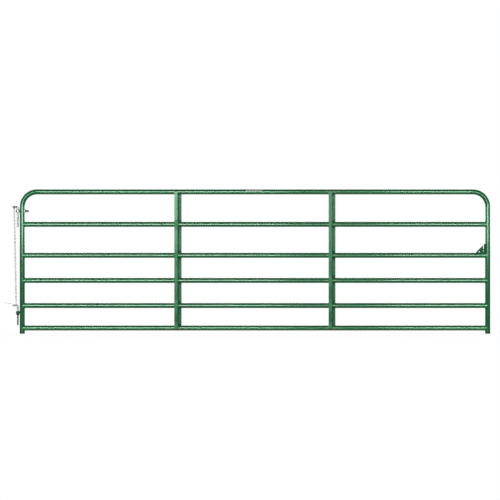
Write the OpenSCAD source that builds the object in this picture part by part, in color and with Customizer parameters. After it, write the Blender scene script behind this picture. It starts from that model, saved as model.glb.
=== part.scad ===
// Six-rail tube gate leaf on two L-shaped hinge hooks, with its latch gusset and chain.
// Origin: centre of the lower hook's flat post end. +X runs along the gate, +Z is up, -Y is the front.

/* [Leaf] */
// Width of the leaf over both stiles
gate_w = 4140; // [2400:10:4900]
// Height of the leaf from the stile feet to the top of the top rail
gate_h = 1270; // [1120:5:1500]
// Outside diameter of the round tube
tube_d = 44.5; // [38:0.1:50.8]
// Wall of the round tube
tube_wall = 1.5; // [1:0.1:3]
// Centreline radius of the two top corner bends
corner_r = 130; // [90:1:180]
// Stile that runs on below the bottom rail
foot_drop = 28; // [15:1:60]

/* [Rails] */
// Clear gap over the bottom rail, in proportion to the other gaps, which share the leaf's height
bay_1 = 153; // [120:0.5:180]
// Clear gap over the fifth rail, in the same proportion
bay_2 = 176.5; // [140:0.5:200]
// Clear gap over the fourth rail, in the same proportion
bay_3 = 176.5; // [140:0.5:200]
// Clear gap over the third rail, in the same proportion
bay_4 = 228; // [180:0.5:260]
// Clear gap over the second rail, in the same proportion
bay_5 = 241; // [200:0.5:300]
// Weld gap at the ends of the rails
cope_gap = 0.3; // [0.1:0.1:1]

/* [Braces] */
// Distance between the webs of the two braces
brace_spacing = 1356; // [900:1:1700]
// Width of a brace flange, web included
flange_w = 32; // [20:1:50]
// Thickness of the brace sheet
brace_t = 2; // [1:0.1:4]
// Inside radius of the brace bends
brace_bend_r = 3; // [1:0.5:5]
// Web left between a rail hole and the flange
brace_land = 3.5; // [3:0.5:10]
// Clearance of a rail in its web hole
rail_hole_gap = 0.3; // [0.1:0.1:1]

/* [Latch gusset] */
// Length of the two legs of the gusset
gusset_leg = 80; // [65:1:120]
// Thickness of the gusset plate
gusset_t = 4; // [2:0.5:8]
// Blunt corner at the end of each leg
gusset_blunt = 5; // [2:0.5:10]
// Width of the chain slot
slot_w = 7.5; // [6:0.5:10]
// Slot centre from the stile
slot_from_stile = 15; // [10:1:25]
// Lowest point of the slot over the rail
slot_floor = 34; // [28:1:40]
// Diameter of the lock hole under the slot
lock_hole_d = 8.5; // [6:0.5:10]
// Lock hole centre over the rail
lock_hole_up = 17; // [14:0.5:20]
// Diameter of the chain hole
chain_hole_d = 11; // [8:0.5:14]
// Hole centre from the stile
hole_from_stile = 52; // [40:1:55]
// Hole centre over the rail
hole_up = 8; // [8:0.5:15]
// Gap between a welded piece and the tube that it sits on
seat_gap = 0.3; // [0.1:0.1:0.8]

/* [Hinge] */
// Diameter of the hook rod
rod_d = 16; // [12:0.5:20]
// Radial play of the rod in the eye and the collar
pin_play = 0.4; // [0.2:0.1:0.8]
// Outside diameter of the eye and the collar
eye_od = 33; // [30:0.5:45]
// Height of the eye
eye_h = 26; // [20:1:40]
// Height of the lower collar
collar_h = 20; // [14:1:30]
// Eye centre below the top of the leaf
eye_down = 191; // [190:1:260]
// Collar centre over the stile feet
collar_up = 188; // [110:1:195]
// Diameter of the eye bolt's shank
bolt_d = 16; // [10:0.5:20]
// Length of the bolt past the stile
bolt_past = 36; // [24:1:60]
// Clearance round the bolt in the stile, the washer and the nut
bolt_gap = 0.3; // [0.1:0.1:0.8]
// Diameter of the saddle washer
washer_d = 28; // [24:1:36]
// Thickness of the saddle washer at its middle
washer_t = 3; // [2:0.5:5]
// Width across flats of the nuts
nut_af = 24; // [22:1:32]
// Thickness of the nuts
nut_t = 13; // [8:0.5:16]
// Chamfer at the rod and bolt ends
end_chamfer = 2; // [0.5:0.5:4]

/* [Hooks] */
// Hinge axis from the post end of a hook's arm
arm_len = 46; // [42:1:80]
// Centreline radius of the hook's bend
hook_bend_r = 14; // [12:0.5:16]
// Drop of the hook's tip below its arm
pintle_len = 175; // [130:1:180]
// Upper arm over the eye's centre
arm_over_eye = 36; // [30:1:50]
// Lower arm over the stile feet
lower_arm_up = 250; // [230:1:270]

/* [Chain] */
// Wire of the chain links
link_wire = 4; // [3:0.5:4.5]
// Step from one link to the next
link_pitch = 16; // [14:0.5:24]
// Inside width of a link
link_inner_w = 6.5; // [6:0.5:8]
// Play between two links
link_play = 0.3; // [0.2:0.1:0.6]
// Wire of the ring that hangs on the upper hook
ring_wire = 5; // [4:0.5:5.5]
// Inside diameter of the ring
ring_id = 24; // [22:0.5:30]
// Ring centre from the hinge axis
ring_off = 31; // [26:1:38]
// Tie from the hinge axis
tie_off = 15; // [14:1:24]

/* [Tie] */
// Width of the tie's strap
strap_w = 4.8; // [3:0.1:5]
// Thickness of the tie's strap
strap_t = 1.3; // [1:0.1:2]
// Clearance inside the tie's loop
tie_gap = 0.3; // [0.2:0.1:0.6]
// Shortest loop between the hook and the last link
tie_reach = 15; // [14:1:20]
// Length of the tie's head
tie_head = 8; // [6:0.5:9]
// Length of the tie's loose tail
tail_len = 105; // [60:1:140]
// Rise of the tail from level
tail_rise = 15; // [0:1:30]

/* [Hidden] */
$fn = 96;
cut = 1;

enamel = "#2e7448";
zinc = "#b9bcbc";
nylon = "#d8d8d4";

tube_r = tube_d / 2;
bore_d = tube_d - 2 * tube_wall;
rod_r = rod_d / 2;

foot_z = -lower_arm_up;
axis_x = arm_len;
stile_x = axis_x + eye_od / 2 + seat_gap + tube_r;
latch_x = stile_x + gate_w - tube_d;
top_z = foot_z + gate_h - tube_r;

bay_scale = (gate_h - foot_drop - 6 * tube_d) / (bay_1 + bay_2 + bay_3 + bay_4 + bay_5);
bottom_z = foot_z + foot_drop + tube_r;
fifth_z = bottom_z + bay_scale * bay_1 + tube_d;
fourth_z = fifth_z + bay_scale * bay_2 + tube_d;
third_z = fourth_z + bay_scale * bay_3 + tube_d;
second_z = third_z + bay_scale * bay_4 + tube_d;
rail_zs = [top_z, second_z, third_z, fourth_z, fifth_z, bottom_z];

brace_mid_x = (stile_x + latch_x) / 2;
web_depth = tube_d + 2 * (brace_land + brace_t);

eye_z = foot_z + gate_h - eye_down;
collar_z = foot_z + collar_up;
upper_arm_z = eye_z + arm_over_eye;
pin_bore_d = rod_d + 2 * pin_play;
bolt_end_x = stile_x + tube_r + bolt_past;
washer_face_x = stile_x + tube_r + washer_t;
nut_corner_d = nut_af / cos(30);

link_r = link_wire / 2;
link_inner_l = link_pitch + link_play;
link_straight = link_inner_l - link_inner_w;
link_bend_r = link_inner_w / 2 + link_r;
link_crown = link_inner_l / 2 + link_r;

// The ring hangs on top of the upper arm, and the chain hangs on the ring's lowest point
ring_x = axis_x - ring_off;
ring_z = upper_arm_z + rod_r + link_play - ring_id / 2;
chain_top = [ring_x, ring_z - (ring_id + ring_wire) / 2];
chain_aim = [axis_x - tie_off, rod_r + tie_reach];
chain_run = norm(chain_aim - chain_top);
chain_dir = (chain_aim - chain_top) / chain_run;
chain_lean = atan2(chain_dir.x, -chain_dir.y);
first_link_at = link_crown - (ring_wire / 2 + link_r + link_play);

// An odd number of links leaves the last one square to the tie, as the first is to the ring
link_count = 2 * floor((chain_run - first_link_at - link_crown) / (2 * link_pitch)) + 1;
last_wire_at = first_link_at + (link_count - 1) * link_pitch + link_crown;
tie_top = chain_top + chain_dir * last_wire_at;

// The strap's edges sit higher in the round end of the last link than its middle
strap_rise = link_inner_w / 2 - sqrt(pow(link_inner_w / 2, 2) - pow(strap_w / 2, 2));
tie_low_r = rod_r + tie_gap;
tie_high_r = link_r + tie_gap + strap_rise;
head_y = -(tie_low_r + strap_t / 2);

// Round bar along +X from x, at height z
module bar_x(x, z, d, length) {
    translate([x, 0, z]) rotate([0, 90, 0]) cylinder(d = d, h = length);
}

// Quarter bend in the gate's plane, from the direction angle to angle + 90
module quarter_bend(x, z, r, d, angle) {
    translate([x, 0, z]) rotate([90, 0, 0]) rotate([0, 0, angle])
        rotate_extrude(angle = 90) translate([r, 0]) circle(d = d);
}

// Bar ends in a short cone, with its tip at the origin and the bar above
module chamfered_tip(d) {
    cylinder(d1 = d - 2 * end_chamfer, d2 = d, h = end_chamfer);
}

module stile_bar(x, d, z0, z1) {
    translate([x, 0, z0]) cylinder(d = d, h = z1 - z0);
}

// Upright and its bend to the top rail as a bar of diameter d, longer by past at both ends
module bent_bar(x, side, d, past) {
    spring_z = top_z - corner_r;
    bend_x = x + side * corner_r;
    stile_bar(x, d, foot_z - past, spring_z);
    quarter_bend(bend_x, spring_z, corner_r, d, side > 0 ? 90 : 0);
    if (past > 0) bar_x(side > 0 ? bend_x : bend_x - past, top_z, d, past);
}

module stile(x, side) difference() {
    bent_bar(x, side, tube_d, 0);
    bent_bar(x, side, bore_d, cut);
}

module hinge_stile() color(enamel) difference() {
    stile(stile_x, 1);
    bar_x(stile_x - tube_d, eye_z, bolt_d + 2 * bolt_gap, 2 * tube_d);
}

module latch_stile() color(enamel) stile(latch_x, -1);

// Straight tube between the two bends
module top_rail() color(enamel) {
    from_x = stile_x + corner_r + cope_gap;
    run = latch_x - corner_r - cope_gap - from_x;
    difference() {
        bar_x(from_x, top_z, tube_d, run);
        bar_x(from_x - cut, top_z, bore_d, run + 2 * cut);
    }
}

// Straight tube between the stiles, its ends coped to them
module rail(z) color(enamel) difference() {
    bar_x(stile_x, z, tube_d, latch_x - stile_x);
    bar_x(stile_x - cut, z, bore_d, latch_x - stile_x + 2 * cut);
    for (x = [stile_x, latch_x])
        stile_bar(x, tube_d + 2 * cope_gap, z - tube_d, z + tube_d);
}

module second_rail() rail(second_z);
module third_rail() rail(third_z);
module fourth_rail() rail(fourth_z);
module fifth_rail() rail(fifth_z);
module bottom_rail() rail(bottom_z);

// Front half of the Z section in plan: half the web, the bend and the flange to the left
module brace_half() {
    bend_out_r = brace_bend_r + brace_t;
    front_y = -web_depth / 2;
    translate([-brace_t / 2, front_y + bend_out_r])
        square([brace_t, web_depth / 2 - bend_out_r]);
    translate([brace_t / 2 - flange_w, front_y])
        square([flange_w - bend_out_r, brace_t]);
    translate([brace_t / 2 - bend_out_r, front_y + bend_out_r]) intersection() {
        difference() {
            circle(r = bend_out_r);
            circle(r = brace_bend_r);
        }
        translate([0, -bend_out_r]) square(bend_out_r);
    }
}

// Z-section upright from the bottom to the top rail's centre, holed for the rails
module brace(x) color(enamel) difference() {
    translate([x, 0, bottom_z]) linear_extrude(top_z - bottom_z) {
        brace_half();
        rotate(180) brace_half();
    }
    for (z = rail_zs)
        bar_x(x - flange_w, z, tube_d + 2 * rail_hole_gap, 2 * flange_w);
}

module left_brace() brace(brace_mid_x - brace_spacing / 2);
module right_brace() brace(brace_mid_x + brace_spacing / 2);

module gusset_outline() difference() {
    polygon([[0, 0], [0, gusset_leg], [-gusset_blunt, gusset_leg],
        [-gusset_leg, gusset_blunt], [-gusset_leg, 0]]);
    translate([-slot_from_stile, slot_floor + slot_w / 2]) {
        circle(d = slot_w);
        translate([-slot_w / 2, 0]) square([slot_w, gusset_leg]);
    }
    translate([-slot_from_stile, lock_hole_up]) circle(d = lock_hole_d);
    translate([-hole_from_stile, hole_up]) circle(d = chain_hole_d);
}

module latch_gusset() color(enamel)
    translate([latch_x - tube_r - seat_gap, gusset_t / 2, third_z + tube_r + seat_gap])
        rotate([90, 0, 0]) linear_extrude(gusset_t) gusset_outline();

// Upright barrel on the hinge axis, centred at height z
module barrel(z, h) {
    translate([axis_x, 0, z - h / 2]) cylinder(d = eye_od, h = h);
}

module pin_bore(z, h) {
    translate([axis_x, 0, z - h / 2 - cut]) cylinder(d = pin_bore_d, h = h + 2 * cut);
}

module hinge_eye_bolt() color(zinc) difference() {
    union() {
        barrel(eye_z, eye_h);
        bar_x(axis_x, eye_z, bolt_d, bolt_end_x - end_chamfer - axis_x);
        translate([bolt_end_x, 0, eye_z]) rotate([0, -90, 0]) chamfered_tip(bolt_d);
    }
    pin_bore(eye_z, eye_h);
}

module eye_bolt_washer() color(zinc) difference() {
    bar_x(stile_x, eye_z, washer_d, washer_face_x - stile_x);
    stile_bar(stile_x, tube_d + 2 * seat_gap, eye_z - tube_d, eye_z + tube_d);
    bar_x(stile_x, eye_z, bolt_d + 2 * bolt_gap, tube_d);
}

// Plain hexagon nut along +Z
module nut(hole_d) difference() {
    cylinder(d = nut_corner_d, h = nut_t, $fn = 6);
    translate([0, 0, -cut]) cylinder(d = hole_d, h = nut_t + 2 * cut);
}

module eye_bolt_nut() color(zinc)
    translate([washer_face_x, 0, eye_z]) rotate([0, 90, 0]) nut(bolt_d + 2 * bolt_gap);

module lower_hinge_collar() color(enamel) difference() {
    barrel(collar_z, collar_h);
    pin_bore(collar_z, collar_h);
}

// L-shaped rod: flat-ended arm from the post, bend, and pintle down through the leaf
module hook(z) color(zinc) {
    bar_x(0, z, rod_d, axis_x - hook_bend_r);
    quarter_bend(axis_x - hook_bend_r, z - hook_bend_r, hook_bend_r, rod_d, 0);
    translate([axis_x, 0, z - pintle_len]) {
        chamfered_tip(rod_d);
        translate([0, 0, end_chamfer])
            cylinder(d = rod_d, h = pintle_len - hook_bend_r - end_chamfer);
    }
}

module upper_hook() hook(upper_arm_z);
module lower_hook() hook(0);

// The collar turns on this nut, which carries the leaf
module hook_nut() color(zinc)
    translate([axis_x, 0, collar_z - collar_h / 2 - seat_gap - nut_t]) nut(rod_d + 2 * bolt_gap);

module chain_ring() color(zinc)
    translate([ring_x, 0, ring_z]) rotate([0, 90, 0])
        rotate_extrude() translate([(ring_id + ring_wire) / 2, 0]) circle(d = ring_wire);

// One link round its centre, long way up, flat to the front
module link() {
    for (side = [-1, 1])
        translate([side * link_bend_r, 0, -link_straight / 2])
            cylinder(d = link_wire, h = link_straight);
    for (end = [0, 1])
        mirror([0, 0, end]) quarter_pair();
}

module quarter_pair() {
    translate([0, 0, link_straight / 2]) rotate([90, 0, 0])
        rotate_extrude(angle = 180) translate([link_bend_r, 0]) circle(d = link_wire);
}

// Every second link from the given one, turned about the chain's own line
module links(first, turn) color(zinc) {
    for (i = [first : 2 : link_count - 1]) {
        at = chain_top + chain_dir * (first_link_at + i * link_pitch);
        translate([at.x, 0, at.y]) rotate([0, -chain_lean, 0]) rotate([0, 0, turn]) link();
    }
}

module chain_face_links() links(0, 0);
module chain_edge_links() links(1, 90);

// Loop of strap round the hook's arm and through the last link, grown by extra
module tie_loop(extra, w) {
    translate([tie_top.x - w / 2, 0, 0]) rotate([90, 0, 90]) linear_extrude(w) hull() {
        circle(r = tie_low_r + extra, $fn = 32);
        translate([0, tie_top.y]) circle(r = tie_high_r + extra, $fn = 32);
    }
}

module chain_tie() color(nylon) {
    difference() {
        tie_loop(strap_t, strap_w);
        tie_loop(0, strap_w + 2 * cut);
    }
    translate([tie_top.x - tie_head / 2, head_y - strap_w, -strap_w / 2])
        cube([tie_head, strap_w, strap_w]);
    translate([tie_top.x, head_y - strap_w + strap_t, 0]) rotate([0, tail_rise, 0])
        translate([-tail_len, -strap_t, -strap_w / 2]) cube([tail_len, strap_t, strap_w]);
}

hinge_stile();
top_rail();
latch_stile();
second_rail();
third_rail();
fourth_rail();
fifth_rail();
bottom_rail();
left_brace();
right_brace();
latch_gusset();
hinge_eye_bolt();
eye_bolt_washer();
eye_bolt_nut();
lower_hinge_collar();
upper_hook();
lower_hook();
hook_nut();
chain_ring();
chain_face_links();
chain_edge_links();
chain_tie();
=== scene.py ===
"""Looks of a six-rail tube gate on its two hinge hooks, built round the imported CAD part.

Lengths are in metres in the row frame: +X along the gate, -Y to the front, +Z up.
"""

from __future__ import annotations

import logging
import math
from dataclasses import dataclass, field
from enum import Enum
from typing import Any, Sequence

import bmesh
import bpy
from mathutils import Matrix, Vector

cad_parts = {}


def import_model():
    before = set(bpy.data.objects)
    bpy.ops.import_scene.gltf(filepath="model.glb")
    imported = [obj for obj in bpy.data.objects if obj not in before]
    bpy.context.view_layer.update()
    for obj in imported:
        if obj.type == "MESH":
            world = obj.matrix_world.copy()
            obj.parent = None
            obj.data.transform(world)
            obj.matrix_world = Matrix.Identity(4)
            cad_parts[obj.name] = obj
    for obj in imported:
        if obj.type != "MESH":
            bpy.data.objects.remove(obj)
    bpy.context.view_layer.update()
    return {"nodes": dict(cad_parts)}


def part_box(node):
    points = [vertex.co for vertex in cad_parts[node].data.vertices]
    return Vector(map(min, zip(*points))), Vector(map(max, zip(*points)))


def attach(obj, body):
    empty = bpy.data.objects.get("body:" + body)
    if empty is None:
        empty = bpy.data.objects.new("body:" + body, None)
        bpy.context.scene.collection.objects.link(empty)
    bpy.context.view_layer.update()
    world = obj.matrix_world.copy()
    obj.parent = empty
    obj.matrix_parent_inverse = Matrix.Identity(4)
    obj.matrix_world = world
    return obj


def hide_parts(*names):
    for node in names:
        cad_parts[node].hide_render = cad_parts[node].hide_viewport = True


BMEdge = bmesh.types.BMEdge
BMesh = bmesh.types.BMesh
BMVert = bmesh.types.BMVert
Edges = list[BMEdge]
Inputs = dict[str | int, Any]
Mesh = bpy.types.Mesh
Socket = bpy.types.NodeSocket

LOG = logging.getLogger("tube_gate")
MM = 0.001
# Vertices closer than this are one
MERGE = 0.001 * MM
WHITE = (1.0, 1.0, 1.0, 1.0)
ALONG_X = Matrix.Rotation(math.pi / 2, 4, "Y")
BRACES = ("left_brace", "right_brace")
# Least upright share of the normal of a face that counts as level
LEVEL = 0.99
# Blender's mix node has its colours in sockets that share their names with others
MIX_A, MIX_B, MIX_OUT = 6, 7, 2


class Axis(Enum):
    """Axes of the row frame, with the number of each coordinate."""

    X = 0
    Y = 1
    Z = 2


class Slot(Enum):
    """Material slots of the record."""

    ENAMEL = "enamel"
    ZINC = "zinc"
    NYLON = "nylon"


class Body(Enum):
    """Bodies of the record: the leaf that swings, and what stays on the post."""

    LEAF = "gate_leaf"
    POST = "post_hooks"


class Rail(Enum):
    """Horizontal tubes of the leaf that end at a coped joint, from the top down."""

    SECOND = "second_rail"
    THIRD = "third_rail"
    FOURTH = "fourth_rail"
    FIFTH = "fifth_rail"
    BOTTOM = "bottom_rail"


class Look(Enum):
    """Finishes of the gate, each with the name of its material."""

    STILES = "enamel_on_stiles"
    RAILS = "enamel_on_rails"
    BRACES = "enamel_on_braces"
    CORNERS = "enamel_in_corners"
    WELDS = "enamel_on_welds"
    GALVANISED_AND_GLINT = "galvanised_steel_and_painted_glint"
    BRIGHT_ZINC = "bright_zinc_plate"
    DULL_ZINC = "dull_zinc_plate"
    NEAR_BLACK_ZINC = "near_black_zinc"
    TIE = "natural_nylon"
    STICKER = "blank_vinyl"


def linear(hex_colour: str) -> tuple[float, float, float, float]:
    """Turns an sRGB hex colour into linear light.

    Args:
        hex_colour: Colour such as "#2e7448".

    Returns:
        Linear red, green, blue and an alpha of 1.
    """
    parts = [int(hex_colour[i : i + 2], 16) / 255 for i in (1, 3, 5)]
    red, green, blue = (
        c / 12.92 if c <= 0.04045 else ((c + 0.055) / 1.055) ** 2.4 for c in parts
    )
    return red, green, blue, 1.0


class NodeGraph:
    """A node tree that is filled through one method."""

    def __init__(self, tree: bpy.types.NodeTree, space: str = "Object") -> None:
        """Empties the tree and adds the coordinates that its patterns follow.

        Args:
            tree: Node tree of a material or a world.
            space: Output of the coordinates node.
        """
        self.tree = tree
        tree.nodes.clear()
        self.coords = self.add("TexCoord", {}, space)

    def add(
        self, kind: str, inputs: Inputs, out: str | int = 0, **settings: Any
    ) -> Socket | None:
        """Adds a node with its settings and links.

        Args:
            kind: Blender's node type, without its first word ShaderNode.
            inputs: Value or output socket for each input, by name or number.
            out: The output that is wanted, by name or number.
            settings: Properties of the node.

        Returns:
            That output, or None from an end node.
        """
        node = self.tree.nodes.new("ShaderNode" + kind)
        for name, value in settings.items():
            setattr(node, name, value)
        for key, value in inputs.items():
            if isinstance(value, Socket):
                self.tree.links.new(value, node.inputs[key])
            else:
                node.inputs[key].default_value = value
        return node.outputs[out] if node.outputs else None


@dataclass(frozen=True)
class Finish:
    """A procedural finish, by its real material."""

    look: Look
    slot: Slot | None = None

    def build(self) -> bpy.types.Material:
        """Makes the material.

        Returns:
            The material, with its nodes.
        """
        material = bpy.data.materials.new(self.look.value)
        material.use_nodes = True
        graph = NodeGraph(material.node_tree)
        surface = graph.add("BsdfPrincipled", self.shader(graph))
        graph.add("OutputMaterial", {"Surface": surface})
        return material

    def shader(self, graph: NodeGraph) -> Inputs:
        """Adds the finish's own nodes.

        Args:
            graph: The material's nodes.

        Returns:
            Inputs of the surface shader.
        """
        raise NotImplementedError

    @staticmethod
    def blotches(
        graph: NodeGraph,
        size: float,
        detail: int,
        levels: tuple[float, float] = (0.0, 1.0),
        edges: tuple[float, float] = (0.3, 0.7),
    ) -> Socket:
        """Draws blotches with soft edges.

        Args:
            graph: The material's nodes.
            size: Size of a blotch.
            detail: Steps of finer noise in it.
            levels: Level beside a blotch and in it.
            edges: Values of the noise where the level starts and ends its change.

        Returns:
            Output with the level.
        """
        swells = {"Vector": graph.coords, "Scale": 1 / size, "Detail": detail}
        noise = graph.add("TexNoise", swells)
        span = dict(enumerate((noise, *edges, *levels)))
        return graph.add("MapRange", span, interpolation_type="SMOOTHSTEP")

    @staticmethod
    def relief(graph: NodeGraph, size: float, detail: int, height: float, share: float) -> Socket:
        """Draws fine unevenness.

        Args:
            graph: The material's nodes.
            size: Size of one swell.
            detail: Steps of finer noise in it.
            height: Height of a swell.
            share: Share of that height that shows.

        Returns:
            Output with the normal.
        """
        swells = {"Vector": graph.coords, "Scale": 1 / size, "Detail": detail}
        noise = graph.add("TexNoise", swells)
        return graph.add("Bump", {"Height": noise, "Strength": share, "Distance": height})


@dataclass(frozen=True)
class PaintPatch:
    """Paint that differs, or painted shade, near some places along one axis."""

    axis: Axis
    places: tuple[float, ...]
    reach: float
    colour: str
    dull: float = 0.22
    core: float = 0.35

    def mask(self, graph: NodeGraph) -> Socket:
        """Finds the paint near the places.

        Args:
            graph: The material's nodes.

        Returns:
            Output with 1 at the places and 0 beyond the reach.
        """
        along = graph.add("SeparateXYZ", {0: graph.coords}, self.axis.value)
        nearest: Socket | float = self.reach
        for place in self.places:
            offset = graph.add("Math", {0: along, 1: place}, operation="SUBTRACT")
            gap = graph.add("Math", {0: offset}, operation="ABSOLUTE")
            nearest = graph.add("Math", {0: gap, 1: nearest}, operation="MINIMUM")
        span = {0: nearest, 1: self.core * self.reach, 2: self.reach, 3: 1.0, 4: 0.0}
        return graph.add("MapRange", span, interpolation_type="SMOOTHSTEP")


@dataclass(frozen=True)
class EnamelFinish(Finish):
    """Green gloss enamel sprayed on steel, with lighter paint over welds, darker feet, and painted
    shade beside and behind the braces.
    """

    colour: str = "#145831"
    thin: str = "#196039"
    glint: str = "#b8f0cc"
    gloss: float = 0.1
    dull: float = 0.13
    sheen: float = 1.0
    coat: float = 1.0
    coat_rough: float = 0.08
    patches: tuple[PaintPatch, ...] = ()
    run_l: float = 350 * MM
    smear_l: float = 90 * MM
    patch_l: float = 20 * MM
    peel_l: float = 3.5 * MM
    peel_h: float = 0.1 * MM
    peel: float = 0.05

    def shader(self, graph: NodeGraph) -> Inputs:
        """Adds the paint film, the patches, the gloss and the orange peel.

        Args:
            graph: The material's nodes.

        Returns:
            Inputs of the surface shader.
        """
        # The sprayed film runs thick and thin, so the green drifts along each tube
        film = self.blotches(graph, self.run_l, detail=4)
        tones = {MIX_A: linear(self.colour), MIX_B: linear(self.thin)}
        tone = graph.add("Mix", {0: film, **tones}, MIX_OUT, data_type="RGBA")
        # Handling leaves smears that dull the mirror of the lights a little
        rough = self.blotches(graph, self.smear_l, detail=3, levels=(self.gloss, self.dull))
        # Patches, some of them painted shade, have ragged edges, and are duller than the rest
        ragged = self.blotches(graph, self.patch_l, detail=3, levels=(0.5, 1.0), edges=(0.3, 0.6))
        for patch in self.patches:
            share = graph.add("Math", {0: patch.mask(graph), 1: ragged}, operation="MULTIPLY")
            tones = {MIX_A: tone, MIX_B: linear(patch.colour)}
            tone = graph.add("Mix", {0: share, **tones}, MIX_OUT, data_type="RGBA")
            shine = {0: share, 1: patch.dull, 2: rough}
            rough = graph.add("Math", shine, operation="MULTIPLY_ADD")
        # Orange peel just breaks the straight edge of a highlight
        bump = self.relief(graph, self.peel_l, detail=1, height=self.peel_h, share=self.peel)
        return {
            "Base Color": tone,
            "Roughness": rough,
            "Specular IOR Level": self.sheen,
            "Specular Tint": linear(self.glint),
            "Coat Weight": self.coat,
            "Coat Roughness": self.coat_rough,
            "Normal": bump,
        }


@dataclass(frozen=True)
class ZincFinish(Finish):
    """Zinc plate on steel rod, wire and nuts, a little clouded."""

    bright: str = "#eceeee"
    cloud: str = "#cfd2d3"
    smooth: float = 0.28
    rough: float = 0.46
    cloud_l: float = 12 * MM
    rub_l: float = 4 * MM
    grain_l: float = 0.8 * MM
    grain_h: float = 0.1 * MM
    grain: float = 0.15

    def shader(self, graph: NodeGraph) -> Inputs:
        """Adds the plate's clouds, rubbed spots and grain.

        Args:
            graph: The material's nodes.

        Returns:
            Inputs of the surface shader.
        """
        # The plate clouds over in blotches of a finger's width
        cloud = self.blotches(graph, self.cloud_l, detail=4, edges=(0.35, 0.65))
        tones = {MIX_A: linear(self.bright), MIX_B: linear(self.cloud)}
        tone = graph.add("Mix", {0: cloud, **tones}, MIX_OUT, data_type="RGBA")
        # Rubbed spots shine more than the rest
        rough = self.blotches(graph, self.rub_l, detail=3, levels=(self.smooth, self.rough))
        # Real plate has a grain too fine to render, so it is drawn coarser
        bump = self.relief(graph, self.grain_l, detail=2, height=self.grain_h, share=self.grain)
        return {"Base Color": tone, "Metallic": 1.0, "Roughness": rough, "Normal": bump}


@dataclass(frozen=True)
class NylonFinish(Finish):
    """Moulded natural nylon, slightly clear and waxy."""

    colour: str = "#bfbfb9"
    worn: str = "#a5a6a0"
    rough: float = 0.42
    cloud_l: float = 6 * MM
    mark_l: float = 1.2 * MM
    mark_h: float = 0.1 * MM
    mark: float = 0.2
    depth: float = 1.0 * MM
    milky: float = 0.1

    def shader(self, graph: NodeGraph) -> Inputs:
        """Adds waxy nylon with faint clouds and moulding marks.

        Args:
            graph: The material's nodes.

        Returns:
            Inputs of the surface shader.
        """
        # Light sinks in a little, so the strap looks milky and not chalky
        cloud = self.blotches(graph, self.cloud_l, detail=2, levels=(0.0, 0.25))
        tones = {MIX_A: linear(self.colour), MIX_B: linear(self.worn)}
        tone = graph.add("Mix", {0: cloud, **tones}, MIX_OUT, data_type="RGBA")
        # The mould leaves shallow marks that break its shine
        bump = self.relief(graph, self.mark_l, detail=1, height=self.mark_h, share=self.mark)
        return {
            "Base Color": tone,
            "Roughness": self.rough,
            "Subsurface Weight": self.milky,
            "Subsurface Radius": (self.depth,) * 3,
            "Normal": bump,
        }


@dataclass(frozen=True)
class StickerFinish(Finish):
    """Blank calendered vinyl, scuffed in handling."""

    colour: str = "#8c978f"
    scuffed: str = "#7d8a81"
    smooth: float = 0.3
    rough: float = 0.5
    scuff_l: float = 10 * MM
    rub_l: float = 20 * MM

    def shader(self, graph: NodeGraph) -> Inputs:
        """Adds pale vinyl with faint scuffs.

        Args:
            graph: The material's nodes.

        Returns:
            Inputs of the surface shader.
        """
        # Vinyl has a soft satin shine that scuffs break into patches
        worn = self.blotches(graph, self.scuff_l, detail=4, levels=(0.0, 0.6), edges=(0.45, 0.7))
        tones = {MIX_A: linear(self.colour), MIX_B: linear(self.scuffed)}
        tone = graph.add("Mix", {0: worn, **tones}, MIX_OUT, data_type="RGBA")
        rough = self.blotches(graph, self.rub_l, detail=2, levels=(self.smooth, self.rough))
        return {"Base Color": tone, "Roughness": rough}


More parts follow.
